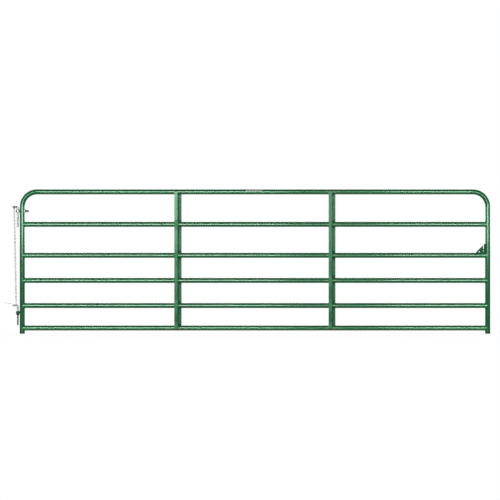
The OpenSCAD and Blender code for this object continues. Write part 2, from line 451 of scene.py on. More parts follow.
@dataclass
class Palette:
    """The scene's materials, each built once."""

    weld_xs: tuple[float, ...]
    brace_xs: tuple[float, ...]
    brace_back: float
    rail_zs: tuple[float, ...]
    foot_z: float
    made: dict[Look, bpy.types.Material] = field(default_factory=dict)
    slots: dict[Look, Slot | None] = field(default_factory=dict)

    def finishes(self) -> tuple[Finish, ...]:
        """Lists the finishes of the gate.

        Returns:
            One finish for each real material.
        """
        enamel, zinc = Slot.ENAMEL, Slot.ZINC
        # Paint over a weld's heat is lighter, and painted shade turns the rails darker and browner
        # where they pass a brace
        rail_ends = PaintPatch(Axis.X, self.weld_xs, 60 * MM, "#1c7340")
        crossing_shade = PaintPatch(Axis.X, self.brace_xs, 75 * MM, "#344f33")
        brace_welds = PaintPatch(Axis.Z, self.rail_zs, 60 * MM, "#1c7340")
        # Painted shade darkens the back flange of each brace
        back_flange_shade = PaintPatch(Axis.Y, (self.brace_back,), 48 * MM, "#0f4425", dull=0.14)
        # The stiles go darker and duller towards their feet
        feet = PaintPatch(Axis.Z, (self.foot_z,), 40 * MM, "#14261b", dull=0.4)
        return (
            # Bent tube takes a thinner coat, so its bright line is softer than a rail's
            EnamelFinish(Look.STILES, enamel, sheen=0.65, coat=0.0, patches=(feet,)),
            # Straight rails are level and wet-looking, with a crisp bright line
            EnamelFinish(Look.RAILS, enamel, patches=(rail_ends, crossing_shade)),
            # Rolled sheet shines in front, where it mirrors the lights, and painted shade darkens
            # its back flange
            EnamelFinish(
                Look.BRACES, enamel, coat=0.0, gloss=0.18, dull=0.24, sheen=0.35,
                patches=(brace_welds, back_flange_shade),
            ),
            # The gusset and the hinge collar are a darker, matt green
            EnamelFinish(
                Look.CORNERS, enamel, coat=0.0, gloss=0.66, dull=0.78, sheen=0.4,
                colour="#154a2b", thin="#195031",
            ),
            # Paint over rough beads is lighter and scatters the light
            EnamelFinish(
                Look.WELDS, enamel, coat=0.0, gloss=0.3, dull=0.45,
                colour="#1f7040", thin="#1a6338",
            ),
            # The hot-dipped washer is a pale, even grey; the same pale grey on the edge-on chain
            # links is a painted highlight
            ZincFinish(
                Look.GALVANISED_AND_GLINT, zinc, bright="#f2f4f4", cloud="#dfe2e2", smooth=0.6, rough=0.75
            ),
            # New nuts are silvery and catch the light
            ZincFinish(Look.BRIGHT_ZINC, zinc),
            # Hot-forged and bent rod under thin plate is a flatter mid grey
            ZincFinish(
                Look.DULL_ZINC, zinc, bright="#adb0b0", cloud="#8c8f90", smooth=0.36, rough=0.52
            ),
            # The eye bolt's thread and the lower hook's nut are nearly black
            ZincFinish(
                Look.NEAR_BLACK_ZINC, zinc, bright="#161717", cloud="#090a0a", smooth=0.45, rough=0.65
            ),
            NylonFinish(Look.TIE, Slot.NYLON),
            StickerFinish(Look.STICKER),
        )

    def build(self) -> None:
        """Builds every material."""
        for finish in self.finishes():
            self.made[finish.look] = finish.build()
            self.slots[finish.look] = finish.slot

    def dress(self, item: bpy.types.Object, look: Look) -> None:
        """Gives an object one material.

        Args:
            item: Object to dress.
            look: The finish.
        """
        item.data.materials.clear()
        item.data.materials.append(self.made[look])


@dataclass
class Shop:
    """Makes pieces from meshes and hangs them on the CAD bodies."""

    palette: Palette
    nodes: dict[str, bpy.types.Object]

    def cad(self, look: Look, *names: str) -> None:
        """Dresses CAD nodes that stay in view.

        Args:
            look: The finish.
            names: Names of the nodes.
        """
        for name in names:
            self.palette.dress(self.nodes[name], look)
            LOG.info("dressed %s in %s", name, look.value)

    def piece(self, mesh: Mesh, body: Body, look: Look, *replaced: str) -> None:
        """Puts a finished mesh into the scene, under the mesh's name.

        Args:
            mesh: Mesh in the row frame.
            body: CAD body that it moves with.
            look: The finish.
            replaced: CAD nodes that it stands for.
        """
        made = place_object(mesh.name, mesh)
        self.palette.dress(made, look)
        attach(made, body.value)
        if replaced:
            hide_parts(*replaced)
        LOG.info("built %s: %d faces on %s", made.name, len(mesh.polygons), body.value)


def place_object(name: str, data: bpy.types.ID) -> bpy.types.Object:
    """Puts a mesh, curve, lamp or camera into the scene.

    Args:
        name: Name of the object.
        data: What it shows.

    Returns:
        The object.
    """
    item = bpy.data.objects.new(name, data)
    bpy.context.scene.collection.objects.link(item)
    return item


def close_up(bm: BMesh, name: str, sharp_deg: float = 35.0) -> Mesh:
    """Turns a bmesh into a mesh with outward normals and soft shading.

    Args:
        bm: The bmesh, which is freed.
        name: Name of the mesh.
        sharp_deg: Edges that bend more than this stay sharp.

    Returns:
        The mesh.
    """
    bmesh.ops.remove_doubles(bm, verts=bm.verts[:], dist=MERGE)
    bmesh.ops.recalc_face_normals(bm, faces=bm.faces[:])
    for face in bm.faces:
        face.smooth = True
    for edge in bm.edges:
        if len(edge.link_faces) == 2:
            edge.smooth = edge.calc_face_angle(0.0) < math.radians(sharp_deg)
    mesh = bpy.data.meshes.new(name)
    bm.to_mesh(mesh)
    bm.free()
    return mesh


def pick(made: Sequence[Any], kind: type) -> list[Any]:
    """Picks one kind of element out of what an operator made."""
    return [item for item in made if isinstance(item, kind)]


def grow(bm: BMesh, edges: Edges, move: Sequence[float], scale: float = 1.0) -> Edges:
    """Extrudes a ring of edges, moves it and scales it round its own centre.

    Args:
        bm: The bmesh.
        edges: Edges of the open ring.
        move: Shift of the new ring.
        scale: Scale of the new ring.

    Returns:
        Edges of the new ring.
    """
    made = bmesh.ops.extrude_edge_only(bm, edges=edges)["geom"]
    verts = pick(made, BMVert)
    centre = sum((v.co for v in verts), Vector()) / len(verts)
    bmesh.ops.scale(bm, vec=(scale,) * 3, space=Matrix.Translation(-centre), verts=verts)
    bmesh.ops.translate(bm, vec=move, verts=verts)
    return [edge for edge in pick(made, BMEdge) if set(edge.verts) <= set(verts)]


def bend(
    bm: BMesh,
    edges: Edges,
    centre: Sequence[float],
    axis: Sequence[float],
    angle: float,
    steps: int,
) -> Edges:
    """Draws edges round an axis.

    Args:
        bm: The bmesh.
        edges: Edges of the open end.
        centre: A point on the axis.
        axis: Direction of the axis.
        angle: Angle of the bend.
        steps: Number of faces along it.

    Returns:
        Edges of the new end.
    """
    geom = [*edges, *{v for edge in edges for v in edge.verts}]
    made = bmesh.ops.spin(bm, geom=geom, cent=centre, axis=axis, angle=angle, steps=steps)
    return pick(made["geom_last"], BMEdge)


def middle(node: str) -> Vector:
    """Finds the middle of a CAD node's box."""
    low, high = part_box(node)
    return (low + high) / 2


@dataclass
class WeldRun:
    """Weld beads along paths, rippled as a welder lays them."""

    radius: float = 2.1 * MM
    ripple: float = 2.6 * MM
    depth: float = 0.16
    drift_l: float = 11.0 * MM
    drift: float = 0.1
    stagger: float = 2.3

    def mesh(self, name: str, paths: Sequence[list[Vector]], closed: bool) -> Mesh:
        """Sweeps beads along the paths.

        Args:
            name: Name of the mesh.
            paths: Points of each bead's middle.
            closed: Whether each bead ends where it starts.

        Returns:
            One mesh with all the beads.
        """
        curve = bpy.data.curves.new(name, "CURVE")
        curve.dimensions = "3D"
        curve.bevel_depth = self.radius
        curve.bevel_resolution = 2
        curve.use_fill_caps = not closed
        for number, path in enumerate(paths):
            spline = curve.splines.new("POLY")
            spline.points.add(len(path) - 1)
            run = 0.0
            for i, point in enumerate(path):
                run += (point - path[i - 1]).length if i else 0.0
                wave = math.sin(2 * math.pi * run / self.ripple + number)
                drift = math.sin(run / self.drift_l + self.stagger * number)
                spline.points[i].co = (*point, 1.0)
                spline.points[i].radius = 1 + self.depth * wave + self.drift * drift
            spline.use_cyclic_u = closed
        holder = place_object(name, curve)
        graph = bpy.context.evaluated_depsgraph_get()
        mesh = bpy.data.meshes.new_from_object(holder.evaluated_get(graph))
        bpy.data.objects.remove(holder)
        bpy.data.curves.remove(curve)
        mesh.name = name
        mesh.polygons.foreach_set("use_smooth", [True] * len(mesh.polygons))
        return mesh


def arc_path(
    centre: Vector, r: float, steps: int, start: float = 0.0, sweep: float = 2 * math.pi
) -> list[Vector]:
    """Samples an arc round a level tube.

    Args:
        centre: Point on the tube's axis.
        r: Radius of the arc.
        steps: Number of steps.
        start: Angle where it starts.
        sweep: Angle from its start to its end.

    Returns:
        The points.
    """
    angles = [start + sweep * i / steps for i in range(steps + 1)]
    return [centre + Vector((0, r * math.cos(a), r * math.sin(a))) for a in angles]


def line_path(start: Vector, end: Vector, step: float = 0.65 * MM) -> list[Vector]:
    """Samples a straight path.

    Args:
        start: First point.
        end: Last point.
        step: Distance between points.

    Returns:
        The points.
    """
    count = max(2, round((end - start).length / step))
    return [start.lerp(end, i / count) for i in range(count + 1)]


@dataclass
class LeafFrame:
    """Stiles, rails and their welds, with the blank sticker on the top rail."""

    shop: Shop
    cope_out: float = 0.5 * MM
    cope_along: float = 0.4 * MM
    cope_steps: int = 180
    seam_sunk: float = 0.35 * MM
    seam_steps: int = 160
    sticker_from: float = 2.054
    sticker_to: float = 2.195
    sticker_low_deg: float = 16.0
    sticker_high_deg: float = 84.0
    sticker_gap: float = 0.05 * MM
    sticker_t: float = 0.2 * MM
    sticker_steps: int = 24

    def __post_init__(self) -> None:
        """Reads the tube's size and the axes from the CAD boxes."""
        low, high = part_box("top_rail")
        self.r = (high.z - low.z) / 2
        self.top_z = middle("top_rail").z
        self.seams = (low.x, high.x)
        self.hinge_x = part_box("hinge_stile")[0].x + self.r
        self.latch_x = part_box("latch_stile")[1].x - self.r

    def cope(self, stile_x: float, side: int, z: float) -> list[Vector]:
        """Follows the joint of a coped rail end round the tube.

        Args:
            stile_x: Axis of the stile.
            side: 1 where the rail leaves to +X, -1 where it leaves to -X.
            z: Height of the rail's axis.

        Returns:
            Points of the bead's middle.
        """
        centre = Vector((stile_x, 0, z))
        ring = arc_path(centre, self.r + self.cope_out, self.cope_steps)[:-1]
        for point in ring:
            # Rail and stile are alike, so their joint runs out as far as it rises
            point.x += side * (abs(point.z - z) + self.cope_along)
        return ring

    def seam(self, x: float) -> list[Vector]:
        """Follows the joint of the top rail and a bend.

        Args:
            x: Place of the joint.

        Returns:
            Points of the bead's middle.
        """
        centre = Vector((x, 0, self.top_z))
        return arc_path(centre, self.r - self.seam_sunk, self.seam_steps)[:-1]

    def sticker(self) -> Mesh:
        """Bends a blank sticker round the top rail.

        Returns:
            The sticker's mesh.
        """
        bm = bmesh.new()
        r = self.r + self.sticker_gap
        start = math.radians(self.sticker_low_deg)
        sweep = math.radians(self.sticker_high_deg) - start
        y, z = -r * math.cos(start), self.top_z + r * math.sin(start)
        ends = [bm.verts.new((x, y, z)) for x in (self.sticker_from, self.sticker_to)]
        edge = bm.edges.new(ends)
        bend(bm, [edge], (0, 0, self.top_z), (-1, 0, 0), sweep, self.sticker_steps)
        bmesh.ops.recalc_face_normals(bm, faces=bm.faces[:])
        bmesh.ops.solidify(bm, geom=bm.faces[:], thickness=self.sticker_t)
        return close_up(bm, "blank_sticker")

    def build(self) -> None:
        """Dresses the tubes and adds the welds and the sticker."""
        self.shop.cad(Look.STILES, "hinge_stile", "latch_stile")
        self.shop.cad(Look.RAILS, "top_rail", *(rail.value for rail in Rail))
        copes = [
            self.cope(x, side, middle(rail.value).z)
            for rail in Rail
            for x, side in ((self.hinge_x, 1), (self.latch_x, -1))
        ]
        rail_ends = WeldRun().mesh("rail_end_welds", copes, True)
        self.shop.piece(rail_ends, Body.LEAF, Look.WELDS)
        rings = [self.seam(x) for x in self.seams]
        thin_bead = WeldRun(radius=0.75 * MM, ripple=2.2 * MM, depth=0.08)
        seams = thin_bead.mesh("bend_seam_welds", rings, True)
        self.shop.piece(seams, Body.LEAF, Look.STILES)
        self.shop.piece(self.sticker(), Body.LEAF, Look.STICKER)


@dataclass
class Braces:
    """The two Z braces and the welds that hold them on the rails."""

    shop: Shop
    leaf: LeafFrame
    sheet: float = 2.0 * MM
    bead_out: float = 0.9 * MM
    tack_out: float = 1.7 * MM
    tack_half: float = 9.0 * MM
    half_steps: int = 100

    @staticmethod
    def web_xs() -> tuple[float, ...]:
        """Finds the middle of each brace's web."""
        return tuple(middle(name).x for name in BRACES)

    def collar(self, x: float, z: float, half: bool) -> list[Vector]:
        """Follows a rail round its hole in the web.

        Args:
            x: Place along the rail.
            z: Height of the rail's axis.
            half: Whether only the side towards the brace's middle is joined.

        Returns:
            Points of the bead's middle.
        """
        centre, r = Vector((x, 0, z)), self.leaf.r + self.bead_out
        if not half:
            return arc_path(centre, r, 2 * self.half_steps)[:-1]
        turn = math.pi if z > 0 else 0.0
        return arc_path(centre, r, self.half_steps, turn, math.pi)

    def tack(self, x: float, side: int, z: float) -> list[Vector]:
        """Follows a rail's face up the edge of a flange.

        Args:
            x: Edge of the flange.
            side: -1 at the front, 1 at the back.
            z: Height of the rail's axis.

        Returns:
            Points of the bead's middle.
        """
        r = self.leaf.r + self.tack_out
        rises = line_path(Vector((0, 0, -self.tack_half)), Vector((0, 0, self.tack_half)))
        return [Vector((x, side * math.sqrt(r * r - p.z * p.z), z + p.z)) for p in rises]

    def build(self) -> None:
        """Dresses the braces and welds them to the rails."""
        self.shop.cad(Look.BRACES, *BRACES)
        offset = self.sheet / 2 + self.bead_out
        faces = [x + side * offset for x in self.web_xs() for side in (-1, 1)]
        *inner, bottom_z = (middle(rail.value).z for rail in Rail)
        rings = [self.collar(x, z, False) for x in faces for z in inner]
        ends = [self.collar(x, z, True) for x in faces for z in (self.leaf.top_z, bottom_z)]
        tacks = [
            self.tack(x, side, z)
            for low, high in (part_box(name) for name in BRACES)
            for x, side in ((low.x, -1), (high.x, 1))
            for z in inner
        ]
        for name, paths, closed in (
            ("brace_rail_welds", rings, True),
            ("brace_end_welds", ends, False),
            ("flange_tack_welds", tacks, False),
        ):
            self.shop.piece(WeldRun().mesh(name, paths, closed), Body.LEAF, Look.WELDS)


@dataclass
class LatchGusset:
    """The slotted latch plate and its welds."""

    shop: Shop
    bead_r: float = 1.9 * MM
    bead_out: float = 0.8 * MM
    bead_short: float = 3.0 * MM

    def build(self) -> None:
        """Dresses the plate and runs beads along both legs, front and back."""
        self.shop.cad(Look.CORNERS, "latch_gusset")
        low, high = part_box("latch_gusset")
        paths = []
        for y in (low.y - self.bead_out, high.y + self.bead_out):
            corner = Vector((high.x, y, low.z))
            paths.append(line_path(corner, Vector((low.x + self.bead_short, y, low.z))))
            paths.append(line_path(corner, Vector((high.x, y, high.z - self.bead_short))))
        beads = WeldRun(self.bead_r).mesh("gusset_welds", paths, False)
        self.shop.piece(beads, Body.LEAF, Look.WELDS)


@dataclass
class ScrewThread:
    """A V thread along +Z, cut by spinning one pitch of its profile up a helix."""

    major_r: float
    pitch: float = 2.0 * MM
    depth: float = 1.1 * MM
    root_to: float = 0.12
    crest_from: float = 0.5
    crest_to: float = 0.62
    steps: int = 24

    @property
    def core(self) -> float:
        """Gives the share of the radius that is left under the thread."""
        return 1 - self.depth / self.major_r

    def mesh(self, name: str, length: float, place: Matrix) -> Mesh:
        """Makes a run of thread.

        Args:
            name: Name of the mesh.
            length: Length of the run from the origin.
            place: Where the run goes.

        Returns:
            The thread's mesh.
        """
        bm = bmesh.new()
        minor = self.major_r - self.depth
        shape = (
            (minor, 0.0),
            (minor, self.root_to),
            (self.major_r, self.crest_from),
            (self.major_r, self.crest_to),
            (minor, 1.0),
        )
        verts = [bm.verts.new((r, 0, share * self.pitch)) for r, share in shape]
        edges = [bm.edges.new(pair) for pair in zip(verts, verts[1:])]
        turns = max(1, int(length / self.pitch) - 1)
        bmesh.ops.spin(
            bm,
            geom=[*verts, *edges],
            cent=(0, 0, 0),
            axis=(0, 0, 1),
            dvec=(0, 0, self.pitch / self.steps),
            angle=2 * math.pi * turns,
            steps=self.steps * turns,
        )
        bmesh.ops.transform(bm, matrix=place, verts=bm.verts[:])
        return close_up(bm, name, sharp_deg=60)


@dataclass
class HexNut:
    """A chamfered hexagon nut along +Z from the origin."""

    flats: float
    height: float
    bore_r: float = 8.2 * MM
    rim: float = 0.47
    tilt_deg: float = 30.0
    cuts: int = 24

    def mesh(self, name: str, place: Matrix) -> Mesh:
        """Cuts the nut from a hexagon bar.

        Args:
            name: Name of the mesh.
            place: Where the nut goes.

        Returns:
            The nut's mesh.
        """
        bm = bmesh.new()
        bmesh.ops.create_circle(
            bm, cap_ends=True, segments=6, radius=self.flats / 2 / math.cos(math.pi / 6)
        )
        top = bmesh.ops.extrude_face_region(bm, geom=bm.faces[:])["geom"]
        bmesh.ops.translate(bm, vec=(0, 0, self.height), verts=pick(top, BMVert))
        # Planes tilted all round cut a chamfer on both ends
        rim_r, tilt = self.rim * self.flats, math.radians(self.tilt_deg)
        lean, rise = math.sin(tilt), math.cos(tilt)
        for end, up in ((0.0, -rise), (self.height, rise)):
            for i in range(self.cuts):
                angle = 2 * math.pi * i / self.cuts
                x, y = math.cos(angle), math.sin(angle)
                cut = bmesh.ops.bisect_plane(
                    bm,
                    geom=[*bm.verts, *bm.edges, *bm.faces],
                    plane_co=(rim_r * x, rim_r * y, end),
                    plane_no=(lean * x, lean * y, up),
                    clear_outer=True,
                )["geom_cut"]
                edges = pick(cut, BMEdge)
                if len(edges) > 2:
                    bmesh.ops.contextual_create(bm, geom=edges)
        ends = [f for f in bm.faces if abs(f.normal.z) > LEVEL and len(f.verts) > self.cuts // 2]
        rings = []
        for face in ends:
            outline = list(face.edges)
            spread = (face.verts[0].co - face.calc_center_median()).length
            bm.faces.remove(face)
            rings += grow(bm, outline, (0, 0, 0), self.bore_r / spread)
        bmesh.ops.bridge_loops(bm, edges=rings)
        bmesh.ops.transform(bm, matrix=place, verts=bm.verts[:])
        return close_up(bm, name, sharp_deg=20)


@dataclass
class HingeHook:
    """An L-shaped hook: flat-ended arm, bend and pintle, with a thread up from the tip if asked."""

    shop: Shop
    node: str
    thread: float = 0.0
    bend_r: float = 14.0 * MM
    bend_steps: int = 14
    chamfer: float = 1.2 * MM
    run_out: float = 1.0 * MM
    lead_in: float = 1.2 * MM
    tip: float = 2.0 * MM
    taper: float = 0.78
    sides: int = 40

    def rod(self) -> Mesh:
        """Sweeps the rod from the post end to the tip.

        Returns:
            The rod's mesh.
        """
        low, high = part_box(self.node)
        r = (high.y - low.y) / 2
        arm_z = high.z - r
        bend_x, bend_z = high.x - r - self.bend_r, arm_z - self.bend_r
        bm = bmesh.new()
        bmesh.ops.create_circle(
            bm,
            cap_ends=True,
            segments=self.sides,
            radius=r - self.chamfer,
            matrix=Matrix.Translation((low.x, 0, arm_z)) @ ALONG_X,
        )
        ring = grow(bm, bm.edges[:], (self.chamfer, 0, 0), r / (r - self.chamfer))
        ring = grow(bm, ring, (bend_x - low.x - self.chamfer, 0, 0))
        ring = bend(bm, ring, (bend_x, 0, bend_z), (0, 1, 0), math.pi / 2, self.bend_steps)
        drop = bend_z - low.z
        drops = [(drop - self.tip, 1.0), (self.tip, self.taper)]
        if self.thread:
            shank, threaded = drop - self.thread, self.thread - self.run_out - self.tip
            drops[:1] = [(shank, 1.0), (self.run_out, ScrewThread(r).core), (threaded, 1.0)]
        for length, scale in drops:
            ring = grow(bm, ring, (0, 0, -length), scale)
        bmesh.ops.contextual_create(bm, geom=ring)
        return close_up(bm, self.node + "_rod")

    def build(self) -> None:
        """Builds the rod and its thread in place of the CAD hook."""
        self.shop.piece(self.rod(), Body.POST, Look.DULL_ZINC, self.node)
        if not self.thread:
            return
        low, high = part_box(self.node)
        r = (high.y - low.y) / 2
        place = Matrix.Translation((high.x - r, 0, low.z + self.lead_in))
        thread = ScrewThread(r).mesh(self.node + "_thread", self.thread - self.lead_in, place)
        self.shop.piece(thread, Body.POST, Look.DULL_ZINC)


@dataclass
class UpperHinge:
    """The eye bolt through the stile, with its saddle washer and nut."""

    shop: Shop
    pin_r: float = 8.4 * MM
    eye_edge: float = 3.0 * MM
    bolt_r: float = 8.0 * MM
    neck: float = 1.35
    neck_l: float = 4.2 * MM
    neck_sunk: float = 4.0 * MM
    run_out: float = 1.0 * MM
    thread_short: float = 1.5 * MM
    tip: float = 2.0 * MM
    taper: float = 0.82
    sides: int = 64

    def eye(self) -> Mesh:
        """Turns the round-edged eye and draws out its shank.

        Returns:
            The eye bolt's mesh, without its thread.
        """
        low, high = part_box("hinge_eye_bolt")
        mid_z, half = middle("hinge_eye_bolt").z, (high.z - low.z) / 2
        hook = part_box("lower_hook")[1]
        axis_x = hook.x - hook.y
        out_r = axis_x - low.x
        bm = bmesh.new()
        corners = ((self.pin_r, -half), (out_r, -half), (out_r, half), (self.pin_r, half))
        verts = [bm.verts.new((axis_x + r, 0, mid_z + z)) for r, z in corners]
        bm.faces.new(verts)
        bmesh.ops.bevel(
            bm,
            geom=verts,
            offset=self.eye_edge,
            offset_type="OFFSET",
            affect="VERTICES",
            segments=5,
            profile=0.5,
            material=-1,
        )
        section = [*bm.verts, *bm.edges]
        bmesh.ops.delete(bm, geom=bm.faces[:], context="FACES_ONLY")
        bmesh.ops.spin(
            bm,
            geom=section,
            cent=(axis_x, 0, 0),
            axis=(0, 0, 1),
            angle=2 * math.pi,
            steps=self.sides,
            use_merge=True,
        )
        start = axis_x + out_r - self.neck_sunk
        shank = bmesh.ops.create_circle(
            bm,
            cap_ends=False,
            segments=self.sides // 2,
            radius=self.bolt_r * self.neck,
            matrix=Matrix.Translation((start, 0, mid_z)) @ ALONG_X,
        )["verts"]
        ring = list({e for v in shank for e in v.link_edges})
        thread_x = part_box("eye_bolt_washer")[0].x
        for length, scale in (
            (self.neck_l, 1 / self.neck),
            (thread_x - start - self.neck_l, 1.0),
            (self.run_out, ScrewThread(self.bolt_r).core),
            (high.x - thread_x - self.run_out - self.tip, 1.0),
            (self.tip, self.taper),
        ):
            ring = grow(bm, ring, (length, 0, 0), scale)
        bmesh.ops.contextual_create(bm, geom=ring)
        return close_up(bm, "eye_bolt_forging")

    def build(self) -> None:
        """Builds the eye bolt, its thread and its nut, and dresses the washer."""
        self.shop.cad(Look.GALVANISED_AND_GLINT, "eye_bolt_washer")
        self.shop.piece(self.eye(), Body.LEAF, Look.DULL_ZINC, "hinge_eye_bolt")
        low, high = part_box("eye_bolt_nut")
        mid_z = middle("eye_bolt_nut").z
        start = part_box("eye_bolt_washer")[0].x + self.run_out
        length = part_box("hinge_eye_bolt")[1].x - start - self.thread_short
        place = Matrix.Translation((start, 0, mid_z)) @ ALONG_X
        thread = ScrewThread(self.bolt_r).mesh("eye_bolt_thread", length, place)
        self.shop.piece(thread, Body.LEAF, Look.NEAR_BLACK_ZINC)
        place = Matrix.Translation((low.x, 0, mid_z)) @ ALONG_X
        nut = HexNut(high.y - low.y, high.x - low.x).mesh("eye_bolt_hex_nut", place)
        self.shop.piece(nut, Body.LEAF, Look.BRIGHT_ZINC, "eye_bolt_nut")


@dataclass
class LowerHinge:
    """The welded collar of the leaf and the nut on the lower hook that carries it."""

    shop: Shop
    bead_r: float = 2.4 * MM
    bead_out: float = 0.2 * MM
    bead_side: float = 4.6 * MM
    bead_short: float = 1.0 * MM

    def build(self) -> None:
        """Dresses the collar, welds it to the stile and builds the nut."""
        self.shop.cad(Look.CORNERS, "lower_hinge_collar")
        low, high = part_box("lower_hinge_collar")
        paths = []
        for y in (-self.bead_side, self.bead_side):
            foot = Vector((high.x + self.bead_out, y, low.z + self.bead_short))
            paths.append(line_path(foot, Vector((foot.x, y, high.z - self.bead_short))))
        beads = WeldRun(self.bead_r).mesh("collar_welds", paths, False)
        self.shop.piece(beads, Body.LEAF, Look.WELDS)
        low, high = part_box("hook_nut")
        place = Matrix.Translation((middle("hook_nut").x, 0, low.z))
        nut = HexNut(high.y - low.y, high.z - low.z).mesh("hook_hex_nut", place)
        self.shop.piece(nut, Body.POST, Look.NEAR_BLACK_ZINC, "hook_nut")


@dataclass
class CableTie:
    """The nylon tie that loops the last link to the lower hook's arm, with its long loose tail."""

    shop: Shop
    strap_w: float = 4.8 * MM
    strap_t: float = 1.3 * MM
    arm_loop_r: float = 8.3 * MM
    link_loop_r: float = 3.36 * MM
    link_wire: float = 4.0 * MM
    arm_steps: int = 32
    link_steps: int = 18
    head_l: float = 8.0 * MM
    head_edge: float = 0.7 * MM
    window: float = 1.1 * MM
    tail_l: float = 105.0 * MM
    tail_rise_deg: float = 15.0
    tail_in: float = 0.4 * MM
    tip_l: float = 9.0 * MM
    tip_loss: float = 0.5
    tooth: float = 1.25 * MM
    tooth_h: float = 0.3 * MM
    toothed: float = 0.6

    def __post_init__(self) -> None:
        """Reads the tie's place from the CAD boxes."""
        self.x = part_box("chain_tie")[1].x - self.head_l / 2
        self.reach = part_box("chain_face_links")[0].z + self.link_wire / 2
        self.head_y = -(self.arm_loop_r + self.strap_t / 2 + self.strap_w)

    def loop(self, bm: BMesh) -> None:
        """Winds the strap round the hook's arm and through the last link.

        Args:
            bm: The tie's bmesh.
        """
        low_r, high_r = self.arm_loop_r + self.strap_t, self.link_loop_r + self.strap_t
        lean = math.asin((low_r - high_r) / self.reach)
        foot = Matrix.Rotation(math.pi - lean, 3, "X") @ Vector((0, low_r, 0))
        sides = (self.x - self.strap_w / 2, self.x + self.strap_w / 2)
        edges = [bm.edges.new([bm.verts.new((x, foot.y, foot.z)) for x in sides])]
        slope = (high_r - low_r) * math.cos(lean)
        rise = self.reach + (high_r - low_r) * math.sin(lean)
        along_x = (1, 0, 0)
        over, under = math.pi - 2 * lean, math.pi + 2 * lean
        edges = bend(bm, edges, (self.x, 0, 0), along_x, under, self.arm_steps)
        edges = grow(bm, edges, (0, slope, rise))
        edges = bend(bm, edges, (self.x, 0, self.reach), along_x, over, self.link_steps)
        grow(bm, edges, (0, slope, -rise))
        bmesh.ops.remove_doubles(bm, verts=bm.verts[:], dist=MERGE)
        bmesh.ops.recalc_face_normals(bm, faces=bm.faces[:])
        bmesh.ops.solidify(bm, geom=bm.faces[:], thickness=self.strap_t)

    def head(self, bm: BMesh) -> None:
        """Moulds the round-edged head with a strap window above and below.

        Args:
            bm: The head's bmesh.
        """
        centre = Vector((self.x, self.head_y + self.strap_w / 2, 0))
        size = Matrix.Diagonal((self.head_l, self.strap_w, self.strap_w, 1))
        bmesh.ops.create_cube(bm, size=1.0, matrix=Matrix.Translation(centre) @ size)
        bmesh.ops.bevel(
            bm,
            geom=bm.edges[:],
            offset=self.head_edge,
            offset_type="OFFSET",
            affect="EDGES",
            segments=3,
            profile=0.5,
            material=-1,
        )
        bm.normal_update()
        for face in [f for f in bm.faces if abs(f.normal.z) > LEVEL]:
            sink = -face.normal * self.strap_t
            bmesh.ops.inset_region(bm, faces=[face], thickness=self.window)
            bmesh.ops.translate(bm, vec=sink, verts=list(face.verts))

    def tail(self, bm: BMesh) -> None:
        """Draws out the toothed tail to its narrow tip.

        Args:
            bm: The tail's bmesh.
        """
        rows = 2 * round(self.tail_l / self.tooth)
        bmesh.ops.create_grid(bm, x_segments=rows, y_segments=4, size=0.5)
        # Every other row sinks between the strap's two plain edges
        inner = [v for v in bm.verts if abs(v.co.y) < self.toothed / 2]
        grooves = [v for v in inner if round((v.co.x + 0.5) * rows) % 2]
        bmesh.ops.translate(bm, vec=(0, 0, -self.tooth_h), verts=grooves)
        bmesh.ops.translate(bm, vec=(-0.5, 0, 0), verts=bm.verts[:])
        bmesh.ops.scale(bm, vec=(self.tail_l, self.strap_w, 1), verts=bm.verts[:])
        blunt = self.tail_l - self.tip_l
        for vert in [v for v in bm.verts if -v.co.x > blunt]:
            narrow = 1 - self.tip_loss * (-vert.co.x - blunt) / self.tip_l
            bmesh.ops.scale(bm, vec=(1, narrow, 1), verts=[vert])
        bmesh.ops.solidify(bm, geom=bm.faces[:], thickness=self.strap_t - self.tooth_h)
        place = Matrix.Translation((self.x, self.head_y + self.tail_in, 0))
        slant = Matrix.Rotation(math.radians(self.tail_rise_deg), 4, "Y")
        upright = Matrix.Rotation(math.pi / 2, 4, "X")
        bmesh.ops.transform(bm, matrix=place @ slant @ upright, verts=bm.verts[:])

    def build(self) -> None:
        """Builds the tie in place of its CAD solid."""
        whole = bmesh.new()
        for shape in (self.loop, self.head, self.tail):
            part = bmesh.new()
            shape(part)
            mesh = bpy.data.meshes.new("tie_part")
            part.to_mesh(mesh)
            part.free()
            whole.from_mesh(mesh)
            bpy.data.meshes.remove(mesh)
        self.shop.piece(close_up(whole, "cable_tie"), Body.POST, Look.TIE, "chain_tie")


@dataclass
class LatchChain:
    """The hanging chain and the ring that it hangs on."""

    shop: Shop

    def build(self) -> None:
        """Dresses the ring and the links, which stand face on and edge on by turns; the edge-on
        links are paler, a painted highlight.
        """
        self.shop.cad(Look.DULL_ZINC, "chain_ring", "chain_face_links")
        # Painted highlight: the edge-on links are dressed in paler zinc than the face-on ones
        self.shop.cad(Look.GALVANISED_AND_GLINT, "chain_edge_links")


